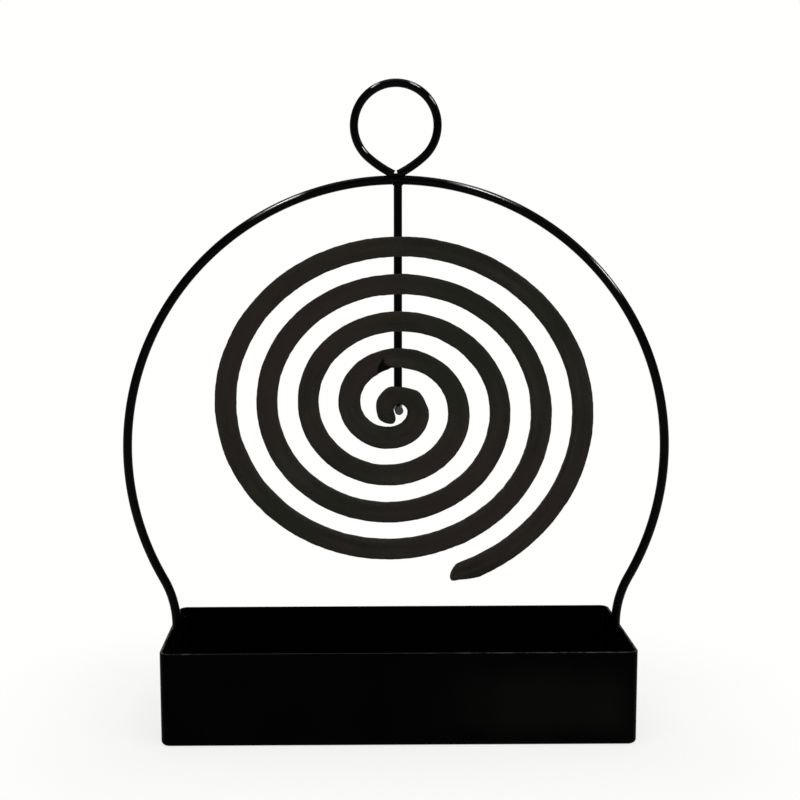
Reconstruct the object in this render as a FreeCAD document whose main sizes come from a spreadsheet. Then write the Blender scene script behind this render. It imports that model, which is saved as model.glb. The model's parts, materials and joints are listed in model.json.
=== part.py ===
# Mosquito coil holder: an open steel tray, a bent wire arch welded inside its end walls, a
# carrying ring on top, and a wire hook on which one spiral coil hangs over the tray.
# +X points to the right, +Y away from the viewer and +Z up. The origin is on the table that
# the tray stands on, under the middle of the tray. Lengths are in mm and angles in degrees.
import FreeCAD, Part
import Sketcher
import math
import os

SIZES = [
    # Tray
    ("tray_width", 150.0),           # over the two end walls
    ("tray_depth", 50.0),            # over the front and back walls
    ("tray_height", 30.0),
    ("sheet_gauge", 0.8),
    ("tray_corner_radius", 3.0),     # outside of the four upright corners
    ("tray_bend_radius", 1.3),       # outside of the bend between floor and walls
    ("rim_round", 0.25),
    ("corner_bead", 0.9),            # radius of the weld run inside each upright corner
    ("corner_bead_end", 2.5),        # from the run's ends to the floor and to the rim
    # Arch
    ("frame_wire", 3.0),             # diameter
    ("arch_overhang", 14.85),        # how far the arch bows out beyond each leg
    ("foot_bend_radius", 32.0),      # the bends that turn the arch into its two upright legs
    ("foot_rise", 1.806),            # from the rim up to where those bends begin
    ("leg_floor_gap", 1.5),          # from the end of a leg to the tray's floor
    ("leg_wall_gap", 0.05),
    ("wire_end_round", 0.35),
    ("leg_bead", 0.75),              # radius of the weld runs beside the legs
    ("leg_bead_length", 6.0),
    ("leg_bead_end", 3.0),           # from a run to the floor or to the rim
    # Ring and hook
    ("hook_wire", 2.7),              # diameter of the ring's wire and of the hook's
    ("ring_radius", 13.26),          # to the middle of the wire
    ("ring_rise", 17.08),            # from the middle of the arch's wire to the ring's centre
    ("ring_leg_radius", 36.0),       # of the wider bend with which both ends run down to the arch
    ("ring_end_slope", 26.0),        # angle of the ends against level
    ("ring_end_gap", 0.3),           # between the two cut ends
    ("ring_bead", 0.6),              # radius of the weld runs at the foot of the ring
    ("ring_bead_length", 5.0),
    ("hook_side", 0.65),             # from the arch's middle to the hook, to the right
    ("hook_drop", 73.0),             # from the middle of the arch's wire to the prong
    ("hook_bend_radius", 3.0),
    ("prong_tilt", 2.0),             # angle above level
    ("prong_reach", 3.0),            # how far the prong stands out in front of the coil
    ("rod_bead", 0.6),               # width of the weld around the top of the rod
    # Coil
    ("coil_thickness", 4.0),
    ("coil_back_gap", 1.9),          # from the upright rod to the back of the coil
    ("coil_strip", 6.25),            # width of the strip
    ("coil_first_strip", 6.7),       # its width right below the eye
    ("coil_pitch", 13.27),           # from one turn to the next
    ("coil_start_radius", 7.44),     # to the middle of the strip
    ("coil_turns", 4.193),           # from the coil's right side out to its tail
    ("coil_height_share", 0.907) ,   # the spiral's height as a share of its width
    ("coil_side", 1.51),             # from the prong to the spiral's centre, to the left
    ("coil_lift", 0.72),             # from the prong up to the spiral's centre, where it starts
    ("coil_sink", 0.186),            # how much lower that centre lies with each turn
    ("eye_radius", 2.0),             # the prong's hole in the middle of the coil
    ("eye_side", 0.45),              # from the prong to the middle of the hole, to the right
    ("eye_hang", 0.15),              # from the prong down to the middle of the hole
    ("coil_head_strip", 6.1),        # width of the strip where it goes round the eye
    ("coil_head_angle", 18.0),       # from the left of the eye down to where the end's rounding begins
    ("coil_head_reach", 3.1),        # length of that rounding
    ("coil_head_side", 0.5),         # from the strip's middle in to the rounding's tip
    ("coil_head_corner", 2.1),       # how far the edge at the eye goes on beside the rounding
    ("coil_tail_strip", 5.5),        # width of the strip where the tail's rounding begins
    ("coil_tip_reach", 4.3),         # length of the tail's rounding
    ("coil_tip_side", 0.5),          # from the strip's middle out to the tip
    ("coil_edge_round", 0.9),
]

FOOT_BEAD_SHARE = 0.9    # leg run's distance from the leg's middle, as a share of the wire's radius
FOOT_SINK_SHARE = 0.4    # how far the leg run's middle is from the wall, as a share of its radius
RING_BEAD_SHARE = 0.8    # ring run's distance from the arch's middle, as a share of its wire's radius
BEAD_END_SHARE = 0.95    # rounding of a weld run's ends, as a share of its radius
ROD_BEAD_SHARE = 0.6     # rounding of the rod weld's upper edge, as a share of its width
STRIP_SHARES = (1.0, 0.95, 1.04, 0.93)    # strip's width at the coil's right, bottom, left and top
EYE_STRIP_SHARES = (0.89, 1.02, 0.86)     # head's width at its end, left of the eye and above it
GAP_POINTS = 5           # points on each arc where the coil's gap to itself is measured
GAP_STRIPS = 3           # the gap counts between points this many widths apart along the strip

doc = FreeCAD.newDocument("coil_holder")
sheet = doc.addObject("Spreadsheet::Sheet", "sizes")
for row, (alias, number) in enumerate(SIZES, start=1):
    sheet.set(f"A{row}", alias)
    sheet.set(f"B{row}", str(number))
    sheet.setAlias(f"B{row}", alias)
doc.recompute()


def size(alias):
    return float(sheet.get(alias))


# Places that several pieces share, once as numbers and once as formulas for the features.
wire_radius = size("frame_wire") / 2
hook_radius = size("hook_wire") / 2
leg_x = size("tray_width") / 2 - size("sheet_gauge") - size("leg_wall_gap") - wire_radius
leg_end = size("sheet_gauge") + size("leg_floor_gap")
foot_bend = size("foot_bend_radius")
foot_x = leg_x + foot_bend
foot_height = size("tray_height") + size("foot_rise")
arch_radius = leg_x + size("arch_overhang")
arch_height = foot_height + math.sqrt((arch_radius + foot_bend) ** 2 - foot_x ** 2)
arch_top = arch_height + arch_radius
rod_top = arch_top - wire_radius
prong_height = arch_top - size("hook_drop")
coil_back = hook_radius + size("coil_back_gap")
coil_middle = coil_back + size("coil_thickness") / 2
prong_end = coil_back + size("coil_thickness") + size("prong_reach")

WALL_X = "(sizes.tray_width / 2 - sizes.sheet_gauge)"
LEG_X = f"({WALL_X} - sizes.leg_wall_gap - sizes.frame_wire / 2)"
LEG_END = "(sizes.sheet_gauge + sizes.leg_floor_gap)"
FOOT_X = f"({LEG_X} + sizes.foot_bend_radius)"
FOOT_HEIGHT = "(sizes.tray_height + sizes.foot_rise)"
ARCH_RADIUS = f"({LEG_X} + sizes.arch_overhang)"
ARCH_HEIGHT = f"({FOOT_HEIGHT} + sqrt(({ARCH_RADIUS} + sizes.foot_bend_radius) ^ 2 - {FOOT_X} ^ 2))"
ARCH_TOP = f"({ARCH_HEIGHT} + {ARCH_RADIUS})"
ROD_TOP = f"({ARCH_TOP} - sizes.frame_wire / 2)"
PRONG_HEIGHT = f"({ARCH_TOP} - sizes.hook_drop)"
COIL_BACK = "(sizes.hook_wire / 2 + sizes.coil_back_gap)"
COIL_MIDDLE = f"({COIL_BACK} + sizes.coil_thickness / 2)"
PRONG_END = f"({COIL_BACK} + sizes.coil_thickness + sizes.prong_reach)"
RING_CENTRE = f"({ARCH_TOP} + sizes.ring_rise)"

X_AXIS = FreeCAD.Vector(1, 0, 0)
Y_AXIS = FreeCAD.Vector(0, 1, 0)
Z_AXIS = FreeCAD.Vector(0, 0, 1)
START, END, CENTRE = range(1, 4)    # the points of a sketch's line or arc


def new_body(label):
    body = doc.addObject("PartDesign::Body", label)
    body.Label = label
    return body


def new_sketch(body, plane, name, lift=None):
    sketch = body.newObject("Sketcher::SketchObject", name)
    own_planes = body.Origin.OriginFeatures
    sketch.AttachmentSupport = [(next(p for p in own_planes if p.Role == plane), "")]
    sketch.MapMode = "FlatFace"
    if lift:
        sketch.setExpression(".AttachmentOffset.Base.z", lift)
    doc.recompute()
    return sketch


def flat(across, up):
    return FreeCAD.Vector(across, up, 0)


def bind(sketch, kind, *where, now, formula):
    """Adds a dimension that has the value now and follows the formula."""
    number = sketch.addConstraint(Sketcher.Constraint(kind, *where, now))
    sketch.setExpression(f"Constraints[{number}]", formula)


def pin_point(sketch, curve, point, place, formulas):
    """Holds a point of a curve at a place measured from the sketch's origin."""
    for kind, now, formula in zip(("DistanceX", "DistanceY"), place, formulas):
        bind(sketch, kind, -1, START, curve, point, now=now, formula=formula)


def arc(centre, radius, start_angle, end_angle):
    circle = Part.Circle(flat(*centre), Z_AXIS, radius)
    return Part.ArcOfCircle(circle, start_angle, end_angle)


def circle_sketch(body, plane, name, centre, formulas, radius, radius_formula, lift=None):
    sketch = new_sketch(body, plane, name, lift)
    sketch.addGeometry(Part.Circle(flat(*centre), Z_AXIS, radius))
    pin_point(sketch, 0, CENTRE, centre, formulas)
    bind(sketch, "Radius", 0, now=radius, formula=radius_formula)
    return sketch


def pipe(body, path, section, name):
    sweep = body.newObject("PartDesign::AdditivePipe", name)
    sweep.Profile = section
    sweep.Spine = path
    doc.recompute()
    return sweep


def edge_names(shape, chosen):
    return [f"Edge{number}" for number, edge in enumerate(shape.Edges, start=1) if chosen(edge)]


def round_edges(body, feature, chosen, formula, name):
    """Rounds those edges of the feature for which chosen(edge) is true."""
    fillet = body.newObject("PartDesign::Fillet", name)
    fillet.Base = (feature, edge_names(feature.Shape, chosen))
    fillet.setExpression("Radius", formula)
    doc.recompute()
    return fillet


def is_level(edge, height):
    box = edge.BoundBox
    middle = (box.ZMin + box.ZMax) / 2
    return box.ZLength < CLOSE and abs(middle - height) < CLOSE


def is_ring(edge):
    return isinstance(edge.Curve, Part.Circle) and abs(edge.Curve.Radius - hook_radius) < CLOSE


def is_upright(edge):
    box = edge.BoundBox
    return box.XLength < CLOSE and box.YLength < CLOSE


def group(label, pieces):
    node = doc.addObject("Part::Compound", label)
    node.Label = label
    node.Links = pieces
    return node


CLOSE = size("rim_round") / 100    # less than any gap in the part


# Tray: one folded sheet with its corners closed
tray = new_body("tray_pan")
plan = new_sketch(tray, "XY_Plane", "tray_plan")
half_width = size("tray_width") / 2
half_depth = size("tray_depth") / 2
corners = [
    (-half_width, -half_depth),
    (half_width, -half_depth),
    (half_width, half_depth),
    (-half_width, half_depth),
]
for corner, following in zip(corners, corners[1:] + corners[:1]):
    plan.addGeometry(Part.LineSegment(flat(*corner), flat(*following)))
for number in range(len(corners)):
    following = (number + 1) % len(corners)
    plan.addConstraint(Sketcher.Constraint("Coincident", number, END, following, START))
    plan.addConstraint(Sketcher.Constraint("Vertical" if number % 2 else "Horizontal", number))
pin_point(plan, 0, START, corners[0], ("-sizes.tray_width / 2", "-sizes.tray_depth / 2"))
pin_point(plan, 2, START, corners[2], ("sizes.tray_width / 2", "sizes.tray_depth / 2"))

block = tray.newObject("PartDesign::Pad", "tray_block")
block.Profile = plan
block.setExpression("Length", "sizes.tray_height")
doc.recompute()
cornered = round_edges(tray, block, is_upright, "sizes.tray_corner_radius", "tray_corners")
bent = round_edges(tray, cornered, lambda edge: is_level(edge, 0), "sizes.tray_bend_radius", "tray_bends")
top_face = max(enumerate(bent.Shape.Faces, start=1), key=lambda pair: pair[1].CenterOfMass.z)[0]
walls = tray.newObject("PartDesign::Thickness", "tray_walls")
walls.Base = (bent, [f"Face{top_face}"])
walls.Reversed = True
walls.setExpression("Value", "sizes.sheet_gauge")
doc.recompute()
round_edges(tray, walls, lambda edge: is_level(edge, size("tray_height")), "sizes.rim_round", "tray_rim")


# Weld runs: each is a short bar with round ends
def bead(name, radius_formula, length_formula, place, turn=None):
    body = new_body(name)
    bar = body.newObject("PartDesign::AdditiveCylinder", f"{name}_bar")
    bar.setExpression("Radius", radius_formula)
    bar.setExpression("Height", length_formula)
    doc.recompute()
    ends = f"{radius_formula} * {BEAD_END_SHARE}"
    round_edges(body, bar, lambda edge: isinstance(edge.Curve, Part.Circle), ends, f"{name}_ends")
    if turn:
        body.Placement = FreeCAD.Placement(FreeCAD.Vector(), turn)
    for axis, formula in zip("xyz", place):
        body.setExpression(f"Placement.Base.{axis}", formula)
    return body


SIDES = {"left": "-1", "right": "1"}
FACES = {"front": "-1", "back": "1"}

bead_depth = "(sizes.tray_corner_radius - sizes.sheet_gauge - sizes.corner_bead / 2) / sqrt(2)"
corner_x = f"(sizes.tray_width / 2 - sizes.tray_corner_radius + {bead_depth})"
corner_y = f"(sizes.tray_depth / 2 - sizes.tray_corner_radius + {bead_depth})"
corner_length = "sizes.tray_height - sizes.sheet_gauge - 2 * sizes.corner_bead_end"
corner_runs = [
    bead(f"{side}_{face}_corner_run", "sizes.corner_bead", corner_length,
         (f"{x_sign} * {corner_x}", f"{y_sign} * {corner_y}", "sizes.sheet_gauge + sizes.corner_bead_end"))
    for side, x_sign in SIDES.items()
    for face, y_sign in FACES.items()
]
group("corner_welds", corner_runs)

# Arch: a circle that turns into two upright legs
arch = new_body("arch_wire")
arch_path = new_sketch(arch, "XZ_Plane", "arch_path")
foot_angle = math.acos(foot_x / (arch_radius + foot_bend))
left_leg, left_foot, crown, right_foot, right_leg = range(5)    # the path's lines and arcs, in order
arch_path.addGeometry([
    Part.LineSegment(flat(-leg_x, leg_end), flat(-leg_x, foot_height)),
    arc((-foot_x, foot_height), foot_bend, 0, foot_angle),
    arc((0, arch_height), arch_radius, -foot_angle, math.pi + foot_angle),
    arc((foot_x, foot_height), foot_bend, math.pi - foot_angle, math.pi),
    Part.LineSegment(flat(leg_x, foot_height), flat(leg_x, leg_end)),
])
joins = [
    (left_leg, END, left_foot, START),
    (left_foot, END, crown, END),
    (crown, START, right_foot, START),
    (right_foot, END, right_leg, START),
]
for join in joins:
    arch_path.addConstraint(Sketcher.Constraint("Tangent", *join))
for leg in (left_leg, right_leg):
    arch_path.addConstraint(Sketcher.Constraint("Vertical", leg))
pin_point(arch_path, left_leg, START, (-leg_x, leg_end), (f"-{LEG_X}", LEG_END))
pin_point(arch_path, right_leg, END, (leg_x, leg_end), (LEG_X, LEG_END))
pin_point(arch_path, crown, CENTRE, (0, arch_height), ("0", ARCH_HEIGHT))
bind(arch_path, "Radius", crown, now=arch_radius, formula=ARCH_RADIUS)
for foot in (left_foot, right_foot):
    bind(arch_path, "Radius", foot, now=foot_bend, formula="sizes.foot_bend_radius")
arch_section = circle_sketch(
    arch, "XY_Plane", "arch_section", (-leg_x, 0), (f"-{LEG_X}", "0"),
    wire_radius, "sizes.frame_wire / 2", lift=LEG_END)
arch_bar = pipe(arch, arch_path, arch_section, "arch_bar")
round_edges(arch, arch_bar, lambda edge: is_level(edge, leg_end), "sizes.wire_end_round", "arch_ends")

run_y = f"sizes.frame_wire / 2 * {FOOT_BEAD_SHARE}"
run_x = f"({WALL_X} - sizes.leg_bead * {FOOT_SINK_SHARE})"
run_bottom = "sizes.sheet_gauge + sizes.leg_bead_end"
run_top = "sizes.tray_height - sizes.leg_bead_end - sizes.leg_bead_length"
for side, x_sign in SIDES.items():
    runs = [
        bead(f"{side}_{face}_{level}_leg_run", "sizes.leg_bead", "sizes.leg_bead_length",
             (f"{x_sign} * {run_x}", f"{y_sign} * {run_y}", height))
        for face, y_sign in FACES.items()
        for level, height in {"lower": run_bottom, "upper": run_top}.items()
    ]
    group(f"{side}_leg_welds", runs)

# Ring: one wire bent to a circle that widens towards both ends, which stand on the arch's crown
ring = new_body("ring_wire")
ring_path = new_sketch(ring, "XZ_Plane", "ring_path")
ring_height = arch_top + size("ring_rise")
ring_round = size("ring_radius")
leg_round = size("ring_leg_radius")
end_slope = math.radians(size("ring_end_slope"))
cut_x = size("ring_end_gap") / 2 + hook_radius * math.sin(end_slope)
leg_slope = math.asin((leg_round * math.sin(end_slope) - cut_x) / (leg_round - ring_round))
leg_side = (leg_round - ring_round) * math.sin(leg_slope)
leg_height = ring_height + (leg_round - ring_round) * math.cos(leg_slope)
cut_z = leg_height - leg_round * math.cos(end_slope)
bottom = math.pi * 3 / 2
left_end, round_part, right_end = range(3)    # the path's arcs, in order
ring_path.addGeometry([
    arc((leg_side, leg_height), leg_round, bottom - leg_slope, bottom - end_slope),
    arc((0, ring_height), ring_round, leg_slope - math.pi / 2, bottom - leg_slope),
    arc((-leg_side, leg_height), leg_round, bottom + end_slope, bottom + leg_slope),
])
ring_path.addConstraint(Sketcher.Constraint("Tangent", left_end, START, round_part, END))
ring_path.addConstraint(Sketcher.Constraint("Tangent", round_part, START, right_end, END))
pin_point(ring_path, round_part, CENTRE, (0, ring_height), ("0", RING_CENTRE))
bind(ring_path, "Radius", round_part, now=ring_round, formula="sizes.ring_radius")
for leg in (left_end, right_end):
    bind(ring_path, "Radius", leg, now=leg_round, formula="sizes.ring_leg_radius")
END_SLOPE = "(sizes.ring_end_slope * 1 deg)"
CUT_X = f"(sizes.ring_end_gap / 2 + sizes.hook_wire / 2 * sin({END_SLOPE}))"
LESS_ROUND = "(sizes.ring_leg_radius - sizes.ring_radius)"
LEG_SLOPE = f"asin((sizes.ring_leg_radius * sin({END_SLOPE}) - {CUT_X}) / {LESS_ROUND})"
CUT_Z = f"({RING_CENTRE} + {LESS_ROUND} * cos({LEG_SLOPE}) - sizes.ring_leg_radius * cos({END_SLOPE}))"
pin_point(ring_path, left_end, END, (-cut_x, cut_z), (f"-{CUT_X}", CUT_Z))
pin_point(ring_path, right_end, START, (cut_x, cut_z), (CUT_X, CUT_Z))
doc.recompute()
ring_section = ring.newObject("Sketcher::SketchObject", "ring_section")
ring_section.AttachmentSupport = [(ring_path, "Edge1")]
ring_section.MapMode = "NormalToEdge"
ring_section.addGeometry(Part.Circle(flat(0, 0), Z_AXIS, hook_radius))
ring_section.addConstraint(Sketcher.Constraint("Coincident", 0, CENTRE, -1, START))
bind(ring_section, "Radius", 0, now=hook_radius, formula="sizes.hook_wire / 2")
pipe(ring, ring_path, ring_section, "ring_bar")
ring_loop = doc.addObject("Part::Cut", "ring_loop")    # the ends are filed to sit on the arch
ring_loop.Label = "ring_loop"
ring_loop.Base = ring
ring_loop.Tool = arch

lying = FreeCAD.Rotation(Y_AXIS, 90)
ring_runs = [
    bead(f"{face}_ring_run", "sizes.ring_bead", "sizes.ring_bead_length",
         ("-sizes.ring_bead_length / 2", f"{y_sign} * sizes.frame_wire / 2 * {RING_BEAD_SHARE}",
          f"{ARCH_TOP} + sizes.frame_wire / 2"), turn=lying)
    for face, y_sign in FACES.items()
]
group("ring_weld", ring_runs)

# Hook: a straight rod that bends forward into the prong
hook = new_body("hook_rod")
hook_path = new_sketch(hook, "YZ_Plane", "hook_path", lift="sizes.hook_side")
bend = size("hook_bend_radius")
tilt = math.radians(size("prong_tilt"))
tip_height = prong_height + (prong_end - coil_middle) * math.tan(tilt)
bend_end_y = -bend - bend * math.sin(tilt)
bend_end_z = tip_height - (prong_end + bend_end_y) * math.tan(tilt)
bend_height = bend_end_z + bend * math.cos(tilt)
hook_path.addGeometry([
    Part.LineSegment(flat(0, rod_top), flat(0, bend_height)),
    arc((-bend, bend_height), bend, -math.pi / 2 - tilt, 0),
    Part.LineSegment(flat(-prong_end, tip_height), flat(bend_end_y, bend_end_z)),
])
hook_path.addConstraint(Sketcher.Constraint("Vertical", 0))
hook_path.addConstraint(Sketcher.Constraint("Tangent", 0, END, 1, END))
hook_path.addConstraint(Sketcher.Constraint("Tangent", 1, START, 2, END))
TIP_HEIGHT = f"({PRONG_HEIGHT} + ({PRONG_END} - {COIL_MIDDLE}) * tan(sizes.prong_tilt * 1 deg))"
pin_point(hook_path, 0, START, (0, rod_top), ("0", ROD_TOP))
pin_point(hook_path, 2, START, (-prong_end, tip_height), (f"-{PRONG_END}", TIP_HEIGHT))
bind(hook_path, "Radius", 1, now=bend, formula="sizes.hook_bend_radius")
bind(hook_path, "Angle", 2, now=-tilt, formula="-sizes.prong_tilt * 1 deg")
hook_section = circle_sketch(
    hook, "XY_Plane", "hook_section", (size("hook_side"), 0), ("sizes.hook_side", "0"),
    hook_radius, "sizes.hook_wire / 2", lift=ROD_TOP)
hook_bar = pipe(hook, hook_path, hook_section, "hook_bar")
round_edges(hook, hook_bar, lambda edge: edge.BoundBox.YMax < -coil_middle and is_ring(edge),
            "sizes.wire_end_round", "prong_end")

rod_weld = new_body("rod_weld")
flare = rod_weld.newObject("PartDesign::AdditiveCone", "rod_weld_flare")
flare.setExpression("Radius1", "sizes.hook_wire / 2")
flare.setExpression("Radius2", "sizes.hook_wire / 2 + sizes.rod_bead")
flare.setExpression("Height", "2 * sizes.rod_bead")
doc.recompute()
round_edges(rod_weld, flare, lambda edge: is_level(edge, 2 * size("rod_bead")),
            f"sizes.rod_bead * {ROD_BEAD_SHARE}", "rod_weld_edge")
rod_weld.setExpression("Placement.Base.x", "sizes.hook_side")
rod_weld.setExpression("Placement.Base.z", f"{ROD_TOP} - sizes.rod_bead")


# Coil: a flat strip wound once round the eye and then outwards, clockwise seen from the front
def eye_node(angle, strip_share):
    """The strip's middle beside the eye: its place, its direction outwards along the strip, its width."""
    width = size("coil_head_strip") * strip_share
    reach = size("eye_radius") + width / 2
    direction = flat(math.sin(angle), -math.cos(angle))
    place = eye_middle + flat(math.cos(angle), math.sin(angle)) * reach
    return place, direction, width


def turn_node(turn):
    """The same on the spiral, where turn counts from its right side."""
    angle = 2 * math.pi * turn
    radius = size("coil_start_radius") + size("coil_pitch") * turn
    squash = size("coil_height_share")
    sunk = size("coil_sink") * turn
    place = spiral_middle + flat(radius * math.cos(angle), -squash * radius * math.sin(angle) - sunk)
    growth = size("coil_pitch") / (2 * math.pi)
    sinking = size("coil_sink") / (2 * math.pi)
    direction = flat(
        growth * math.cos(angle) - radius * math.sin(angle),
        -squash * (growth * math.sin(angle) + radius * math.cos(angle)) - sinking)
    quarter = round(4 * turn)
    width = size("coil_strip") * STRIP_SHARES[quarter % len(STRIP_SHARES)]
    if quarter == 1:
        width = size("coil_first_strip")
    if turn == size("coil_turns"):
        width = size("coil_tail_strip")
    return place, direction.normalize(), width


def outward(direction):
    return flat(-direction.y, direction.x)


def arc_from(start, direction, end):
    """The arc that leaves start in that direction and ends at end."""
    chord = end - start
    side = outward(direction)
    radius = chord.dot(chord) / (2 * chord.dot(side))
    centre = start + side * radius
    to_middle = (start + end) / 2 - centre
    return Part.Arc(start, centre + to_middle.normalize() * abs(radius), end)


def two_arcs(start, start_direction, end, end_direction):
    """Two arcs that join smoothly and have the given directions at their ends."""
    chord = end - start
    along = chord.dot(start_direction + end_direction)
    spread = 2 * (1 - start_direction.dot(end_direction))
    reach = (math.sqrt(along ** 2 + spread * chord.dot(chord)) - along) / spread
    join = (start + end + (start_direction - end_direction) * reach) / 2
    return [arc_from(start, start_direction, join), arc_from(end, -end_direction, join)]


eye_middle = flat(size("hook_side") + size("eye_side"), prong_height - size("eye_hang"))
spiral_middle = flat(size("hook_side") - size("coil_side"), prong_height + size("coil_lift"))
head_angles = (math.pi + math.radians(size("coil_head_angle")), math.pi * 3 / 4, math.pi / 2)
eye_nodes = [eye_node(angle, strip_share) for angle, strip_share in zip(head_angles, EYE_STRIP_SHARES)]
quarters = range(math.ceil(4 * size("coil_turns")))
turns = [quarter / 4 for quarter in quarters] + [size("coil_turns")]
nodes = eye_nodes + [turn_node(turn) for turn in turns]

# An outline point holds its place, the outline's direction there and its mark: how far along
# the strip it lies.
marks = [0.0]
for (place, _, _), (following, _, _) in zip(nodes, nodes[1:]):
    marks.append(marks[-1] + (following - place).Length)
outer_side = [(place + outward(way) * width / 2, way) for place, way, width in nodes]
inner_side = [(place - outward(way) * width / 2, -way) for place, way, width in reversed(nodes)]
head_place, head_way, head_width = nodes[0]
tail_place, tail_way, _ = nodes[-1]
tail_tip = tail_place + tail_way * size("coil_tip_reach") + outward(tail_way) * size("coil_tip_side")
head_corner = head_place - outward(head_way) * head_width / 2 - head_way * size("coil_head_corner")
head_tip = head_place - head_way * size("coil_head_reach") - outward(head_way) * size("coil_head_side")
head_end = [(head_corner, flat(0, -1)), (head_tip, outward(head_way))]
outline = outer_side + [(tail_tip, -outward(tail_way))] + inner_side + head_end
outline_marks = marks + [marks[-1]] + marks[::-1] + [marks[0]] * len(head_end)
curves = []
edge_points = []
for number, (start, start_way) in enumerate(outline):
    following = (number + 1) % len(outline)
    pair = two_arcs(start, start_way, *outline[following])
    curves += pair
    for curve in pair:
        for point in curve.toShape().discretize(GAP_POINTS):
            share = (point - start).Length / (outline[following][0] - start).Length
            mark = outline_marks[number] + share * (outline_marks[following] - outline_marks[number])
            edge_points.append((point.x, point.y, mark))
rim = Part.Wire(Part.sortEdges([curve.toShape() for curve in curves])[0])
least_gap = min(
    math.hypot(x - other_x, y - other_y)
    for number, (x, y, mark) in enumerate(edge_points)
    for other_x, other_y, other_mark in edge_points[:number]
    if abs(mark - other_mark) > GAP_STRIPS * size("coil_strip")
)
print(f"least gap of the coil to itself: {least_gap:.2f} mm")

coil_face = doc.addObject("Part::Feature", "coil_outline")
coil_face.Shape = Part.Face(rim)
coil_face.Placement = FreeCAD.Placement(FreeCAD.Vector(0, -coil_back, 0), FreeCAD.Rotation(X_AXIS, 90))
coil_slab = doc.addObject("Part::Extrusion", "coil_slab")
coil_slab.Base = coil_face
coil_slab.DirMode = "Custom"
coil_slab.Dir = -Y_AXIS
coil_slab.Solid = True
coil_slab.setExpression("LengthFwd", "sizes.coil_thickness")
doc.recompute()
coil = doc.addObject("Part::Fillet", "mosquito_coil")
coil.Label = "mosquito_coil"
coil.Base = coil_slab
round_size = size("coil_edge_round")
coil.Edges = [
    (number, round_size, round_size)
    for number, edge in enumerate(coil_slab.Shape.Edges, start=1)
    if edge.BoundBox.YLength < CLOSE
]
doc.recompute()

LABELS = [
    "tray_pan", "corner_welds", "arch_wire", "left_leg_welds", "right_leg_welds",
    "ring_loop", "ring_weld", "hook_rod", "rod_weld", "mosquito_coil",
]
for piece in doc.Objects:
    if "Invalid" in piece.State or "Error" in piece.State:
        raise RuntimeError(f"{piece.Name}: {piece.State}")

os.makedirs("parts", exist_ok=True)
for label in LABELS:
    shape = doc.getObjectsByLabel(label)[0].Shape
    if shape.isNull() or not shape.isValid():
        raise RuntimeError(f"{label} has no sound shape")
    shape.exportStep(f"parts/{label}.step")
    print(f"{label}: {len(shape.Solids)} solids, {shape.Volume:.1f} mm3")
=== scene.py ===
# The looks of a mosquito coil holder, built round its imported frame.
import json
import math
import bpy
from mathutils import Matrix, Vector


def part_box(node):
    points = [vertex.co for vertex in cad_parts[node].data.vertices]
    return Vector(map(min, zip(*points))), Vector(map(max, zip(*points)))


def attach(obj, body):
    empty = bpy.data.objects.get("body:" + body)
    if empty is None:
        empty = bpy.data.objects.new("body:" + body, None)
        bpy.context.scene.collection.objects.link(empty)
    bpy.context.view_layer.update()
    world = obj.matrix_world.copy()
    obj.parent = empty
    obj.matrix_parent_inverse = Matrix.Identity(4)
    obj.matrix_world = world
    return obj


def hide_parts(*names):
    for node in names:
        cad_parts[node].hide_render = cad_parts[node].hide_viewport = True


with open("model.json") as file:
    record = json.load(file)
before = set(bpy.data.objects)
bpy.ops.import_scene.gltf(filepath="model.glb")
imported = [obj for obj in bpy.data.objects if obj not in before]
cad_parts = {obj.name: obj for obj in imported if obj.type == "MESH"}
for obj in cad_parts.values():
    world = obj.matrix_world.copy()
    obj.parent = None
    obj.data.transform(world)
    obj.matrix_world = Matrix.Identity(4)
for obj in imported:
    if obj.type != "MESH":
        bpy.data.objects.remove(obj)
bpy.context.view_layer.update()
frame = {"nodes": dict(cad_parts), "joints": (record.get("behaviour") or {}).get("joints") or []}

mm = 0.001
print("frame loaded")


class Wire:    # one output of a node; sums can be written on it
    def __init__(self, maker, socket):
        self.maker = maker
        self.socket = socket

    def at(self, output):    # another output of the same node
        return Wire(self.maker, self.socket.node.outputs[output])

    def __add__(self, other):
        return self.maker.sum("ADD", self, other)

    def __sub__(self, other):
        return self.maker.sum("SUBTRACT", self, other)

    def __rsub__(self, other):
        return self.maker.sum("SUBTRACT", other, self)

    def __mul__(self, other):
        return self.maker.sum("MULTIPLY", self, other)

    def __truediv__(self, other):
        return self.maker.sum("DIVIDE", self, other)

    def __pow__(self, other):
        return self.maker.sum("POWER", self, other)

    def __neg__(self):
        return self.maker.sum("MULTIPLY", self, -1.0)

    __radd__ = __add__
    __rmul__ = __mul__


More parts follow.
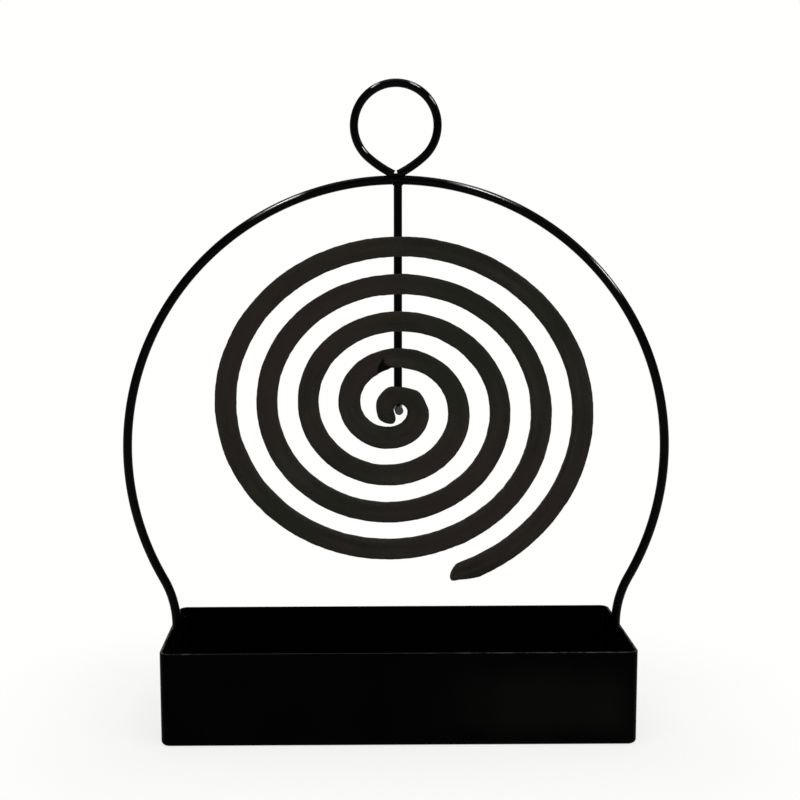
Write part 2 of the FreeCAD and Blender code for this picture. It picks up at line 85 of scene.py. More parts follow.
class Maker:    # adds nodes to one tree, of shapes or of a material
    def __init__(self, tree):
        self.tree = tree

    def node(self, kind, settings=None, inputs=None, output=0):
        made = self.tree.nodes.new(kind)
        for name, value in (settings or {}).items():
            setattr(made, name, value)
        for key, value in (inputs or {}).items():
            if isinstance(value, Wire):
                self.tree.links.new(value.socket, made.inputs[key])
            else:
                made.inputs[key].default_value = value
        return Wire(self, made.outputs[output]) if made.outputs else None

    def sum(self, operation, *parts):
        return self.node("ShaderNodeMath", {"operation": operation}, dict(enumerate(parts)))

    def vector(self, operation, *parts):
        return self.node("ShaderNodeVectorMath", {"operation": operation}, dict(enumerate(parts)))

    def scaled(self, vector, amount):
        return self.node("ShaderNodeVectorMath", {"operation": "SCALE"}, {0: vector, "Scale": amount})

    def spot(self, x, y, z):
        return self.node("ShaderNodeCombineXYZ", None, {0: x, 1: y, 2: z})

    def split(self, vector):
        parts = self.node("ShaderNodeSeparateXYZ", None, {0: vector})
        return parts, parts.at(1), parts.at(2)

    def clamp(self, value):
        return self.node("ShaderNodeClamp", None, {"Value": value})

    def ramp(self, value, low, high, start=0.0, end=1.0):    # a soft step from start at low to end at high
        ends = {"Value": value, "From Min": low, "From Max": high, "To Min": start, "To Max": end}
        return self.node("ShaderNodeMapRange", {"interpolation_type": "SMOOTHSTEP"}, ends)

    def noise(self, place, scale, detail=2.0, roughness=0.5):
        spread = {"Vector": place, "Scale": scale, "Detail": detail, "Roughness": roughness}
        return self.node("ShaderNodeTexNoise", None, spread)

    def blend(self, share, one, other):    # of two colours
        return self.node("ShaderNodeMix", {"data_type": "RGBA"}, {0: share, 6: one, 7: other}, output=2)


def newTree(name, sizes):    # a tree of shapes with one named input for each size, and one for the material
    tree = bpy.data.node_groups.new(name, "GeometryNodeTree")
    tree.is_modifier = True
    tree.interface.new_socket("Geometry", in_out="OUTPUT", socket_type="NodeSocketGeometry")
    tree.interface.new_socket("Geometry", in_out="INPUT", socket_type="NodeSocketGeometry")
    tree.interface.new_socket("material", in_out="INPUT", socket_type="NodeSocketMaterial")
    for size, value in sizes.items():
        kind = "NodeSocketInt" if isinstance(value, int) else "NodeSocketFloat"
        tree.interface.new_socket(size, in_out="INPUT", socket_type=kind)
    maker = Maker(tree)
    return maker, maker.node("NodeGroupInput")


def endTree(maker, given, shape):
    real = maker.node("GeometryNodeRealizeInstances", None, {"Geometry": shape})
    painted = maker.node("GeometryNodeSetMaterial", None, {
        "Geometry": real, "Material": given.at("material")})
    maker.node("NodeGroupOutput", None, {0: painted})


def grow(name, maker, sizes, finish, start=None):    # a plain mesh piece from a tree
    piece = bpy.data.objects.new(name, start or bpy.data.meshes.new(name))
    bpy.context.scene.collection.objects.link(piece)
    live = piece.modifiers.new(name, "NODES")
    live.node_group = maker.tree
    wanted = dict(sizes, material=finish)
    for item in maker.tree.interface.items_tree:
        if item.in_out == "INPUT" and item.name in wanted:
            live[item.identifier] = wanted[item.name]
    graph = bpy.context.evaluated_depsgraph_get()
    mesh = bpy.data.meshes.new_from_object(
        piece.evaluated_get(graph), preserve_all_data_layers=True, depsgraph=graph)
    piece.modifiers.remove(live)
    mesh.name = name
    piece.data = mesh
    return piece


def newFinish(name, fixed):    # a material; fixed holds what is the same all over it
    finish = bpy.data.materials.new(name)
    finish.use_nodes = True
    finish.node_tree.nodes.clear()
    maker = Maker(finish.node_tree)
    skin = maker.node("ShaderNodeBsdfPrincipled", None, fixed)
    maker.node("ShaderNodeOutputMaterial", None, {"Surface": skin})
    return finish, maker, skin.socket.node


def paint(maker, skin, **wires):    # joins what changes over the surface to the skin's sockets
    for name, wire in wires.items():
        maker.tree.links.new(wire.socket, skin.inputs[name.replace("_", " ")])


# The chip in the coil's first turn, left of the rod: a three-cornered break in its inner edge, its broken
# face darkened with painted shade
chip = {
    "apexX": -4.27, "apexZ": 121.1,       # its upper corner, in mm
    "lean": 0.57,                         # how fast its left side runs out to the left
    "leftX": -6.15,                       # where that side turns straight down
    "rightX": -1.1, "rightBlur": 0.4,     # where the chip ends on the strip's edge
    "height": 3.6,                        # from the edge up to the corner
    "slant": 0.25,                        # how fast its right side runs out to the right
    "flareDrop": 3.06, "flare": 3.6,      # how far down, and how sharply, that side bends into the edge
    "sideFrom": -0.1, "sideTo": 0.35,     # how softly its sides begin
    "topBlur": 0.2,
    "depth": 2.0,                         # at the strip's edge; it is 0 at the upper corner
    "edgeLoss": 0.4,                      # how much of the edge is gone to the right of it
    "edgeFrom": -3.5, "edgeTo": 3.0, "edgeBlur": 1.5,
    "low": 114.8, "high": 125.0, "turnBlur": 1.0,    # heights between which the strip is the first turn's
}


def chipMask(maker, x, z):    # 1 inside the chip, from a place in mm
    drop = chip["apexZ"] - z
    left = x - maker.sum("MAXIMUM", chip["apexX"] - drop * chip["lean"], chip["leftX"])
    flare = maker.sum("EXPONENT", (drop - chip["flareDrop"]) * chip["flare"])
    right = drop * chip["slant"] + flare + chip["apexX"] - x
    inside = maker.ramp(x, chip["rightX"] + chip["rightBlur"], chip["rightX"] - chip["rightBlur"])
    for side in (left, right):
        inside = inside * maker.ramp(side, chip["sideFrom"], chip["sideTo"])
    inside = inside * maker.ramp(z, chip["low"], chip["low"] + chip["topBlur"])
    return inside * maker.ramp(drop, -chip["topBlur"], chip["topBlur"])


def edgeLoss(maker, x, z):    # how much narrower the strip is there, from a place of its middle in mm
    window = maker.ramp(x, chip["edgeFrom"], chip["edgeFrom"] + chip["edgeBlur"])
    window = window * maker.ramp(x, chip["edgeTo"], chip["edgeTo"] - chip["edgeBlur"])
    turn = maker.ramp(z, chip["low"], chip["low"] + chip["turnBlur"])
    turn = turn * maker.ramp(z, chip["high"], chip["high"] - chip["turnBlur"])
    return window * turn * chip["edgeLoss"]


# Coil paste: pressed plant powder, dark brown and matt, with soft streaks along the strip
paste = {
    "dark": (0.0145, 0.0131, 0.0104, 1.0),
    "light": (0.0318, 0.0285, 0.0227, 1.0),
    "rosy": (0.0275, 0.0199, 0.0172, 1.0),
    "olive": (0.0172, 0.0188, 0.0134, 1.0),
    "scuffedAndGlint": (0.046, 0.040, 0.033, 1.0),
    "chipShade": (0.0026, 0.0022, 0.0018, 1.0),
    "streakShare": 0.62, "streaksAlong": 40.0, "streaksAcross": 330.0,    # share of the tone; per metre
    "lineShare": 0.20, "linesAlong": 60.0, "linesAcross": 1300.0,
    "broadShare": 0.35, "broadScale": 60.0,
    "grainShare": 0.65, "grainScale": 2400.0,
    "toneShift": 0.41, "toneLow": 0.25, "toneHigh": 0.80,
    "tintSlant": 0.13,        # how much rosier the coil is at its upper left and lower right
    "tintScale": 34.0, "tintShare": 0.6,
    "rosyFrom": 0.50, "rosyFull": 0.64, "oliveFrom": 0.48, "oliveFull": 0.34,
    "headNear": 60.0, "headFar": 110.0,    # square of the head's reach in mm, which is greener too
    "fleckScale": 900.0, "fleckFrom": 0.45, "fleckFull": 0.65, "cornerScuff": 0.35,
    "roughness": 0.86, "roughSpread": 0.12,
    "specular": 0.10,
    "streakDepth": 0.05 * mm, "lineDepthShare": 0.4,
    "grainDepth": 0.03 * mm,
    "patchX": -1.8, "patchZ": 120.4, "patchReach": 2.6, "patchShare": 0.16,    # a lighter spot by the chip
    "glintSpotX": 0.95, "glintSpotZ": 118.2, "glintSpotReach": 0.55, "glintSpotShare": 0.9,    # a painted highlight: a pale spot on its edge
}


def near(maker, x, z, name):    # 1 at one of the paste's spots, falling to 0 at its reach
    awayX, awayZ = x - paste[name + "X"], z - paste[name + "Z"]
    away = (awayX * awayX + awayZ * awayZ) ** 0.5
    spot = maker.ramp(away, paste[name + "Reach"], paste[name + "Reach"] / 2.0)
    return spot * paste[name + "Share"]


def makePaste():
    fixed = {"Specular IOR Level": paste["specular"]}
    finish, maker, skin = newFinish("coilPaste", fixed)
    place = maker.node("ShaderNodeTexCoord").at("Object")
    strip = maker.node("ShaderNodeAttribute", {"attribute_name": "stripMap"}).at("Vector")
    corner = maker.node("ShaderNodeAttribute", {"attribute_name": "corner"}).at("Fac")
    along, around, _ = maker.split(strip)
    streakPlace = maker.spot(along * paste["streaksAlong"], around * paste["streaksAcross"], 0.0)
    streaks = maker.noise(streakPlace, 1.0, 3.0, 0.55)
    linePlace = maker.spot(along * paste["linesAlong"], around * paste["linesAcross"], 7.0)
    lines = maker.noise(linePlace, 1.0)
    broad = maker.noise(place, paste["broadScale"], 3.0)
    placeX, _, placeZ = maker.split(place)
    x, z = placeX / mm, placeZ / mm
    up = z - frame["joints"][0]["pos_m"][2] / mm
    fromEye = x * x + up * up + 1.0
    slant = x * up * 2.0 / fromEye + maker.ramp(fromEye, paste["headFar"], paste["headNear"])
    tint = maker.noise(place, paste["tintScale"]) - slant * paste["tintSlant"]
    grain = maker.noise(place, paste["grainScale"], 4.0, 0.6)
    flecks = maker.noise(place, paste["fleckScale"])
    tone = paste["streakShare"] * streaks + paste["broadShare"] * broad
    tone = tone + paste["lineShare"] * lines + paste["grainShare"] * grain
    tone = maker.ramp(maker.clamp(tone - paste["toneShift"]), paste["toneLow"], paste["toneHigh"])
    colour = maker.blend(tone, paste["dark"], paste["light"])
    for name in ("rosy", "olive"):
        share = maker.ramp(tint, paste[name + "From"], paste[name + "Full"]) * paste["tintShare"]
        colour = maker.blend(share, colour, paste[name])
    scuffAndGlint = corner * maker.ramp(flecks, paste["fleckFrom"], paste["fleckFull"]) * paste["cornerScuff"]
    # the pale spot on the strip's edge is a painted highlight; the corner scuffs and the lighter patch are
    # the paste's own
    scuffAndGlint = scuffAndGlint + near(maker, x, z, "patch") + near(maker, x, z, "glintSpot")
    colour = maker.blend(maker.clamp(scuffAndGlint), colour, paste["scuffedAndGlint"])
    # painted shade: the chip's broken face is coloured near black
    colour = maker.blend(chipMask(maker, x, z), colour, paste["chipShade"])
    height = (streaks + paste["lineDepthShare"] * lines) * paste["streakDepth"]
    height = height + (grain + flecks) * paste["grainDepth"]
    bump = maker.node("ShaderNodeBump", None, {"Height": height / mm, "Distance": mm, "Strength": 1.0})
    rough = paste["roughness"] + paste["roughSpread"] * (flecks - 0.5)
    paint(maker, skin, Base_Color=colour, Roughness=rough, Normal=bump)
    return finish


coilPaste = makePaste()

# Coil: one flat strip that goes round the prong and then outwards, clockwise seen from the front
coil = {
    "stripWidth": 6.48,       # on the average
    "wideLeft": 0.13,         # how the width changes round the turn
    "wideSides": 0.10,
    "wideSlant": 0.07,
    "firstWide": 0.28,        # the same for the first turn, which is wider
    "firstLow": 0.27,
    "firstSlant": 0.13,
    "firstFull": 0.95,        # turns at which that starts to fade, and at which it is gone
    "firstGone": 1.35,
    "thickness": 4.0,
    "edgeRound": 0.9,
    "pitch": 13.27,
    "startRadius": 7.44,      # to the middle of the strip
    "turns": 4.193,
    "heightShare": 0.907,     # the spiral's height as a share of its width
    "spiralSide": -1.51,      # from the prong to the spiral's centre
    "spiralLift": 0.72,
    "spiralSink": 0.186,      # how much lower the centre lies with each turn
    "spiralSlant": 0.12,      # how much further out the spiral runs at the lower right and upper left
    "eyeSide": 0.45,          # from the prong to the middle of its hole
    "eyeLift": -0.15,
    "eyeRadius": 2.0,
    "eyeShare": 0.89,         # the head's width under the eye, as a share of its width beside it
    "besideMore": 0.13,       # how much more it is at the eye's left
    "aboveLess": 0.16,        # and how much less again above it
    "headWidth": 6.1,         # beside the eye
    "headAngle": 18.0,        # from the left of the eye down to where the end's rounding begins
    "headReach": 3.4,         # length of that rounding
    "headSide": 1.0,          # from the strip's middle in to its tip
    "tailWidth": 6.35,
    "tailReach": 4.3,         # length of the tail's rounding
    "tailSide": 0.5,          # from the strip's middle out to the tip
    "tailCut": 1.75,          # how far the lower edge runs in at the end
    "tailCutLength": 10.0,    # from the tail's tip: where that begins, and where it is full
    "tailCutEnd": 0.5,
    "narrowLength": 75.0,     # over which the strip comes down to the tail's width
    "flatPlace": 8.6,         # along the strip from the head's tip: where its outline runs straight
    "cornerPlace": 10.5,      # and the corners and the dip that follow
    "shoulderPlace": 16.8,
    "dipPlace": 19.6,
    "facetDepth": 0.26,
    "facetReach": 1.1,
    "cornerShare": 0.7,       # the corner's height as a share of that depth
    "wander": 0.20,           # how far the edges stray
    "wanderScale": 0.16,      # how often, per mm
    "crumbs": 0.16,           # depth of the small dents in them
    "crumbScale": 0.55,
    "relief": 0.07,           # how far the faces stray
    "reliefScale": 0.22,
    "fineShare": 0.35,        # of that in finer dents
    "fineScale": 0.9,
    "dentsAcross": 3.3,       # their spread from the strip's middle to its edge
    "groove": 0.16,           # depth of the shallow groove along the strip
    "grooveWidth": 0.28,      # as a share of the strip's half width
    "grooveWander": 1.1,      # how far it strays from the strip's middle
    "grooveScale": 0.03,
    "calmShare": 0.25,        # how much of the straying is left at the head, and where it grows back
    "calmFrom": 8.0,
    "calmTo": 26.0,
    "capShare": 0.012,        # of the rows along the strip, at each of its rounded ends
    "linePoints": 2000,       # of the middle line
    "rowsAlong": 1450,
    "rowsAround": 60,
    "seed": 3.0,
}

# How round the strip's ends are on each side: the higher the first number, the squarer
endCurves = {
    "headOuter": (1.8, 0.75), "headInner": (3.4, 0.5),
    "tailOuter": (6.0, 0.5), "tailInner": (1.7, 0.75),
}
mergeReach = 0.0005    # mm; corners closer than this become one


def makeCoilTree():
    maker, given = newTree("coilStrip", coil)
    prongX, prongY, prongZ = (number / mm for number in frame["joints"][0]["pos_m"])
    size = {name: given.at(name) for name in coil}
    half = size["thickness"] / 2.0
    turn = 2.0 * math.pi

    # The strip's middle line: straight under the eye, then round it, then out along the spiral
    headTurn = -math.pi - size["headAngle"] * math.radians(1.0)
    headSweep = size["headReach"] / (size["eyeRadius"] + size["headWidth"] / 2.0)
    endRadius = size["startRadius"] + size["pitch"] * size["turns"]
    lastAngle = turn * size["turns"] + size["tailReach"] / endRadius
    share = maker.node("GeometryNodeSplineParameter")
    fullAngle = headTurn - headSweep + (lastAngle - headTurn + headSweep) * share
    angle = maker.sum("MAXIMUM", fullAngle, headTurn)
    before = (angle - fullAngle) / headSweep * size["headReach"]
    outwards = maker.ramp(angle, -math.pi / 2.0, 0.0)    # 0 round the eye, 1 on the spiral
    turns = angle / turn
    cosine, sine = maker.sum("COSINE", angle), maker.sum("SINE", angle)
    slant = 2.0 * sine * cosine
    sides = cosine * cosine - sine * sine
    eyeShare = size["eyeShare"] + maker.ramp(angle, headTurn, -0.75 * math.pi) * size["besideMore"]
    eyeShare = eyeShare - maker.ramp(angle, -0.75 * math.pi, -math.pi / 2.0) * size["aboveLess"]
    eyeWidth = size["headWidth"] * eyeShare
    first = maker.ramp(turns, size["firstGone"], size["firstFull"])
    spiralWidth = size["stripWidth"] - size["wideLeft"] * cosine + size["wideSides"] * sides
    spiralWidth = spiralWidth + size["wideSlant"] * slant
    spiralWidth = spiralWidth + first * (
        size["firstWide"] + size["firstLow"] * sine + size["firstSlant"] * slant)
    ownWidth = eyeWidth + (spiralWidth - eyeWidth) * outwards
    eyeReach = size["eyeRadius"] + eyeWidth / 2.0
    spiralRadius = size["startRadius"] + size["pitch"] * turns + size["spiralSlant"] * slant
    radius = eyeReach + (spiralRadius - eyeReach) * outwards
    squash = 1.0 + (size["heightShare"] - 1.0) * outwards
    side = size["eyeSide"] + (size["spiralSide"] - size["eyeSide"]) * outwards
    spiralLift = size["spiralLift"] - size["spiralSink"] * turns
    lift = size["eyeLift"] + (spiralLift - size["eyeLift"]) * outwards
    lineX = prongX + side + radius * cosine + before * maker.sum("SINE", headTurn)
    lineZ = prongZ + lift - radius * squash * sine + before * maker.sum("COSINE", headTurn)
    straight = maker.node("GeometryNodeCurvePrimitiveLine", None, {"End": (0.0, 0.0, 1.0)})
    points = maker.node("GeometryNodeResampleCurve", None, {"Curve": straight, "Count": size["linePoints"]})
    noted = maker.node("GeometryNodeStoreNamedAttribute", {"data_type": "FLOAT", "domain": "POINT"}, {
        "Geometry": points, "Name": "ownWidth", "Value": ownWidth})
    line = maker.node("GeometryNodeSetPosition", None, {
        "Geometry": noted, "Position": maker.spot(lineX, 0.0, lineZ)})
    length = maker.node("GeometryNodeCurveLength", None, {"Curve": line})

    # A grid: one way along the strip, the other way round it
    grid = maker.node("GeometryNodeMeshGrid", None, {
        "Size X": 1.0, "Size Y": 1.0,
        "Vertices X": size["rowsAlong"], "Vertices Y": size["rowsAround"] + 1.0})
    u, v, _ = maker.split(grid.at("UV Map"))
    capShare = size["capShare"]
    headFar = maker.sum("COSINE", maker.clamp(u / capShare) * (math.pi / 2.0))
    tailFar = maker.sum("SINE", maker.clamp((u - 1.0 + capShare) / capShare) * (math.pi / 2.0))
    middle = maker.clamp((u - capShare) / (1.0 - 2.0 * capShare))
    run = length - size["headReach"] - size["tailReach"]
    along = size["headReach"] * (1.0 - headFar) + run * middle + size["tailReach"] * tailFar
    kept = maker.node("GeometryNodeInputNamedAttribute", {"data_type": "FLOAT"}, {"Name": "ownWidth"})
    here = maker.node("GeometryNodeSampleCurve", {"mode": "LENGTH", "data_type": "FLOAT"}, {
        "Curves": line, "Length": along, "Value": kept})
    tangent = here.at("Tangent")
    out = maker.vector("CROSS_PRODUCT", tangent, (0.0, 1.0, 0.0))

    # The section: a quarter of a rounded bar, mirrored both ways
    bar = size["stripWidth"] / 2.0
    turnRadius = size["edgeRound"]
    sideFlat = half - turnRadius
    arcLength = turnRadius * (math.pi / 2.0)
    quarter = sideFlat + arcLength + bar - turnRadius
    walked = maker.sum("PINGPONG", v * 4.0 * quarter, quarter)
    arcTurn = maker.clamp((walked - sideFlat) / arcLength) * (math.pi / 2.0)
    acrossFlat = maker.sum("MAXIMUM", walked - sideFlat - arcLength, 0.0)
    sectionX = bar - turnRadius + turnRadius * maker.sum("COSINE", arcTurn) - acrossFlat
    sectionY = maker.sum("MINIMUM", walked, sideFlat) + turnRadius * maker.sum("SINE", arcTurn)
    signX = maker.sum("SIGN", maker.sum("COSINE", v * (2.0 * math.pi)))
    signY = maker.sum("SIGN", maker.sum("SINE", v * (2.0 * math.pi)))
    reach = sectionX * signX / bar    # -1 at the inner edge, 1 at the outer one

    # Its width and edges
    width = here.at("Value")
    narrowing = maker.ramp(along, length - size["narrowLength"], length - size["tailReach"])
    halfWidth = (width + (size["tailWidth"] - width) * narrowing) / 2.0
    calm = maker.ramp(along, size["calmFrom"], size["calmTo"], size["calmShare"], 1.0)
    calm = calm * (1.0 - headFar * headFar) * (1.0 - tailFar * tailFar)
    seed = size["seed"]

    def stray(where, scale, detail):
        return (maker.noise(where, scale, detail) - 0.5) * 2.0

    def edgeStray(wanderRow, crumbRow):    # each edge reads its own rows of the noise
        wander = stray(maker.spot(along, wanderRow, seed), size["wanderScale"], 3.0) * size["wander"]
        crumbs = stray(maker.spot(along, crumbRow, seed), size["crumbScale"], 3.0) * size["crumbs"]
        return (wander + crumbs) * calm

    outerStray, innerStray = edgeStray(20.0, 40.0), edgeStray(70.0, 90.0)

    def facet(name):    # 1 where the head's outline has that mark, 0 beyond its reach
        off = (along - size[name]) / size["facetReach"]
        return maker.sum("EXPONENT", -(off * off))

    def ending(far, name):    # 1 along the strip, falling to 0 at its very end
        squareness, fullness = endCurves[name]
        return (1.0 - far ** squareness) ** fullness

    facets = facet("cornerPlace") * size["cornerShare"] + facet("shoulderPlace")
    facets = facets - facet("flatPlace") - facet("dipPlace")
    outerStray = outerStray + facets * size["facetDepth"]
    outerShare = ending(tailFar, "tailOuter") * ending(headFar, "headOuter")
    innerShare = ending(tailFar, "tailInner") * ending(headFar, "headInner")
    late = maker.sum("GREATER_THAN", u, 0.5)
    tipSide = late * size["tailSide"] - (1.0 - late) * size["headSide"]
    fromTail = length - along
    outerHalf = halfWidth - maker.ramp(fromTail, size["tailCutLength"], size["tailCutEnd"]) * size["tailCut"]
    outer = tipSide + (outerHalf - tipSide) * outerShare + outerStray
    lineX, _, lineZ = maker.split(here.at("Position"))
    inner = (halfWidth + tipSide) * innerShare - tipSide + innerStray
    inner = inner - edgeLoss(maker, lineX, lineZ)
    across = (outer - inner + reach * (outer + inner)) / 2.0

    # Its faces: rounded off at both ends, with a shallow groove and small dents
    headNear = 1.0 - maker.clamp(along / turnRadius)
    tailNear = 1.0 - maker.clamp((length - along) / turnRadius)
    near = maker.sum("MAXIMUM", headNear, tailNear)
    endRound = 1.0 - turnRadius / half * (1.0 - (1.0 - near * near) ** 0.5)
    groovePath = maker.noise(maker.spot(along, 0.0, seed), size["grooveScale"])
    groovePath = (groovePath - 0.5) * size["grooveWander"]
    fromGroove = (reach - groovePath) / size["grooveWidth"]
    groove = maker.sum("EXPONENT", -(fromGroove * fromGroove)) * size["groove"] * calm
    skinPlace = maker.spot(along, reach * size["dentsAcross"], signY * sectionY + seed)
    dents = stray(skinPlace, size["reliefScale"], 1.0)
    dents = dents + stray(skinPlace, size["fineScale"], 1.0) * size["fineShare"]
    dents = dents * size["relief"] * calm
    deep = signY * sectionY * endRound * (1.0 + (dents - groove) / half)

    flatPlace = maker.vector("ADD", here.at("Position"), maker.scaled(out, across))
    flatX, _, flatZ = maker.split(flatPlace)
    slope = maker.clamp((chip["apexZ"] - flatZ) / chip["height"])
    broken = chipMask(maker, flatX, flatZ) * slope * chip["depth"]
    deep = maker.sum("MAXIMUM", deep, broken - half)
    place = maker.vector("ADD", flatPlace, maker.spot(0.0, deep + prongY, 0.0))

    bent = maker.node("GeometryNodeSetPosition", None, {"Geometry": grid, "Position": place})
    mapped = maker.node(
        "GeometryNodeStoreNamedAttribute", {"data_type": "FLOAT2", "domain": "CORNER"},
        {"Geometry": bent, "Name": "stripMap", "Value": maker.spot(along * mm, v * 4.0 * quarter * mm, 0.0)})
    marked = maker.node(
        "GeometryNodeStoreNamedAttribute", {"data_type": "FLOAT", "domain": "POINT"},
        {"Geometry": mapped, "Name": "corner", "Value": maker.sum("SINE", arcTurn * 2.0)})
    closed = maker.node("GeometryNodeMergeByDistance", None, {"Geometry": marked, "Distance": mergeReach})
    smooth = maker.node("GeometryNodeSetShadeSmooth", None, {"Geometry": closed})
    metres = maker.node("GeometryNodeTransform", None, {"Geometry": smooth, "Scale": (mm, mm, mm)})
    endTree(maker, given, metres)
    return maker


coilPiece = grow("coilStrip", makeCoilTree(), coil, coilPaste)
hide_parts("mosquito_coil")
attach(coilPiece, "coil")
print("coil wound:", len(coilPiece.data.polygons), "faces")

# Powder coat: satin black, with the faint waviness that it dries with
coat = {
    "dark": (0.00045, 0.00045, 0.00045, 1.0),
    "light": (0.0013, 0.0013, 0.0012, 1.0),
    "dustAndReflectionTone": (0.035, 0.033, 0.030, 1.0),
    "wornAndHighlight": (0.16, 0.158, 0.15, 1.0),
    "toneScale": 38.0, "toneFrom": 0.35, "toneTo": 0.7,      # per metre, and where dark turns to light
    "dustUpFrom": 0.5, "dustUpTo": 0.95,                     # how far up a face looks where dust settles
    "speckScale": 1500.0, "speckFrom": 0.60, "speckTo": 0.72,
    "reflectionFrom": 0.2, "reflectionTo": 0.7, "reflectionLeast": 0.6,        # how patchy the painted reflection on the tray's front is
    "wearScale": 420.0, "wearFrom": 0.40, "wearTo": 0.62,    # how patchy worn places are
    "metalShare": 0.6,                                       # of bare steel in the worn and painted-highlight colour
    "roughness": 0.30, "toneRough": 0.16, "speckRough": 0.10, "dustRough": 0.3,
    "shineRoughness": 0.12,
    "shineDensity": 2.4,      # refractive index of the coat where it is rubbed shiny
    "peelDepth": 0.012 * mm, "peelScale": 620.0,
    "grainDepth": 0.002 * mm, "grainScale": 5200.0,
}

# Where fingers have rubbed the coat shiny: from one angle to another, in degrees clockwise from the
# top of a wire's circle, on its outer side (1) or its inner one (-1), on the front
shinySpots = {
    "arch": {"height": 89.5, "radius": 87.5, "spots": [
        {"start": -31.0, "end": -20.0, "side": 1, "weight": 1.0},
        {"start": 12.0, "end": 26.0, "side": 1, "weight": 0.9},
        {"start": 46.0, "end": 54.0, "side": 1, "weight": 0.9},
    ]},
    "ring": {"height": 194.08, "radius": 13.26, "spots": [
        {"start": -33.0, "end": -22.0, "side": 1, "weight": 0.9},
        {"start": 18.0, "end": 33.0, "side": 1, "weight": 0.7},
        {"start": 50.0, "end": 62.0, "side": 1, "weight": 0.7},
        {"start": -134.0, "end": -122.0, "side": -1, "weight": 0.8},
    ]},
}
# Across the wire it runs between these, in mm from its middle; the blur is in degrees along it
shineBand = {"from": 0.3, "full": 0.55, "fade": 1.0, "to": 1.2, "endBlur": 2.0, "front": -0.5}


def shine(name):    # gives how shiny the coat is, from a place in mm
    wire = shinySpots[name]

    def fromPlace(maker, x, y, z):
        up = z - wire["height"]
        angle = maker.sum("ARCTAN2", x, up) * math.degrees(1.0)
        away = (x * x + up * up) ** 0.5 - wire["radius"]
        blur = shineBand["endBlur"]
        total = 0.0
        for spot in wire["spots"]:
            inside = maker.ramp(angle, spot["start"] - blur, spot["start"] + blur)
            inside = inside * maker.ramp(angle, spot["end"] + blur, spot["end"] - blur)
            band = maker.ramp(away * spot["side"], shineBand["from"], shineBand["full"])
            band = band * maker.ramp(away * spot["side"], shineBand["to"], shineBand["fade"])
            total = inside * band * spot["weight"] + total
        return total * maker.ramp(y, 0.0, shineBand["front"])

    return fromPlace


# The functions passed in give, at a place in mm, how much wear and painted highlight, how much painted
# reflection and how much shine there is
def makeCoat(name, wearAndHighlight=None, dusty=0.3, gloss=0.04, shiny=None, paintedReflection=None, patched=True):
    fixed = {
        "Specular IOR Level": gloss,
        "Coat Roughness": coat["shineRoughness"], "Coat IOR": coat["shineDensity"]}
    finish, maker, skin = newFinish(name, fixed)
    place = maker.node("ShaderNodeTexCoord").at("Object")
    spotInMm = [number / mm for number in maker.split(place)]
    peel = maker.noise(place, coat["peelScale"])
    grain = maker.noise(place, coat["grainScale"])
    broad = maker.noise(place, coat["toneScale"], 3.0)
    specks = maker.noise(place, coat["speckScale"], 1.0)
    colour = maker.blend(maker.ramp(broad, coat["toneFrom"], coat["toneTo"]), coat["dark"], coat["light"])
    up = maker.split(maker.node("ShaderNodeNewGeometry").at("Normal"))[2]
    dustAndReflection = maker.ramp(up, coat["dustUpFrom"], coat["dustUpTo"])
    dustAndReflection = dustAndReflection * maker.ramp(specks, coat["speckFrom"], coat["speckTo"]) * dusty
    if paintedReflection:
        patches = maker.ramp(broad, coat["reflectionFrom"], coat["reflectionTo"], coat["reflectionLeast"], 1.0)
        # painted reflection: a lighter glow on the tray's front, mixed into the same pale tone as the dust
        # specks
        dustAndReflection = dustAndReflection + paintedReflection(maker, *spotInMm) * patches
    # dust specks on upward faces and the painted reflection on the tray share one pale tone
    colour = maker.blend(dustAndReflection, colour, coat["dustAndReflectionTone"])
    if wearAndHighlight:
        rubbedAndHighlight = maker.clamp(wearAndHighlight(maker, *spotInMm))
        if patched:
            patches = maker.noise(place, coat["wearScale"], 4.0, 0.6)
            rubbedAndHighlight = rubbedAndHighlight * maker.ramp(patches, coat["wearFrom"], coat["wearTo"])
        # worn steel; on the tray's rim and corners and the prong's tip and top this is also a painted
        # highlight
        colour = maker.blend(rubbedAndHighlight, colour, coat["wornAndHighlight"])
        paint(maker, skin, Metallic=rubbedAndHighlight * coat["metalShare"])
    if shiny:
        paint(maker, skin, Coat_Weight=maker.clamp(shiny(maker, *spotInMm)))
    rough = coat["roughness"] + coat["toneRough"] * (broad - 0.5)
    rough = rough + coat["speckRough"] * (specks - 0.5) + coat["dustRough"] * dustAndReflection
    height = peel * (coat["peelDepth"] / mm) + grain * (coat["grainDepth"] / mm)
    bump = maker.node("ShaderNodeBump", None, {"Height": height, "Distance": mm, "Strength": 1.0})
    paint(maker, skin, Base_Color=colour, Roughness=rough, Normal=bump)
    return finish


